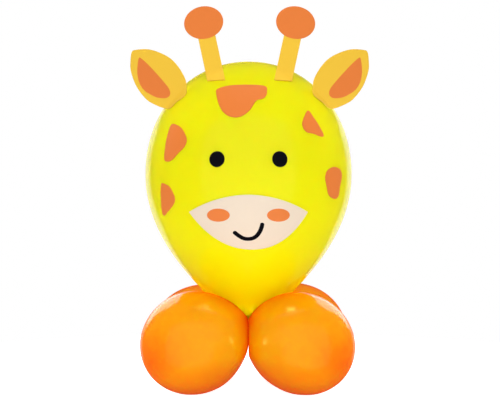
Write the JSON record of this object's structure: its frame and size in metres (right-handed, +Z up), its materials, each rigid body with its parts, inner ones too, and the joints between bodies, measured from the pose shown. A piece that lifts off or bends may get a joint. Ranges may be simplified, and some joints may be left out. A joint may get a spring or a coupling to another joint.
{
  "type": "balloon giraffe",
  "caption": "Table-top giraffe figure of tied latex balloons, with card ears and horns and flat sticker markings, that stands on its own rounded balloon feet.",
  "frame": {"origin": "on the floor, under the knot in the middle of the feet", "axes": "+Z up, -Y the way the giraffe looks, +X to the right of someone who faces it"},
  "size_m": [0.2824, 0.2505, 0.454],
  "materials": {
    "head_latex": "gloss",
    "foot_latex": "gloss",
    "card": "satin",
    "orange_vinyl": "satin",
    "cream_vinyl": "satin",
    "black_vinyl": "satin"
  },
  "bodies": {
    "root": {"head_balloon": "head_latex", "foot_balloon_front_left": "foot_latex", "foot_balloon_front_right": "foot_latex", "foot_balloon_back_left": "foot_latex", "foot_balloon_back_right": "foot_latex", "ear_left": "card", "ear_right": "card", "horn_left": "card", "horn_right": "card", "eye_left": "black_vinyl", "eye_right": "black_vinyl", "patch_forehead": "orange_vinyl", "patch_left_upper": "orange_vinyl", "patch_left_lower": "orange_vinyl", "patch_right_upper": "orange_vinyl", "patch_right_lower": "orange_vinyl", "muzzle": "cream_vinyl"}
  },
  "joints": []
}
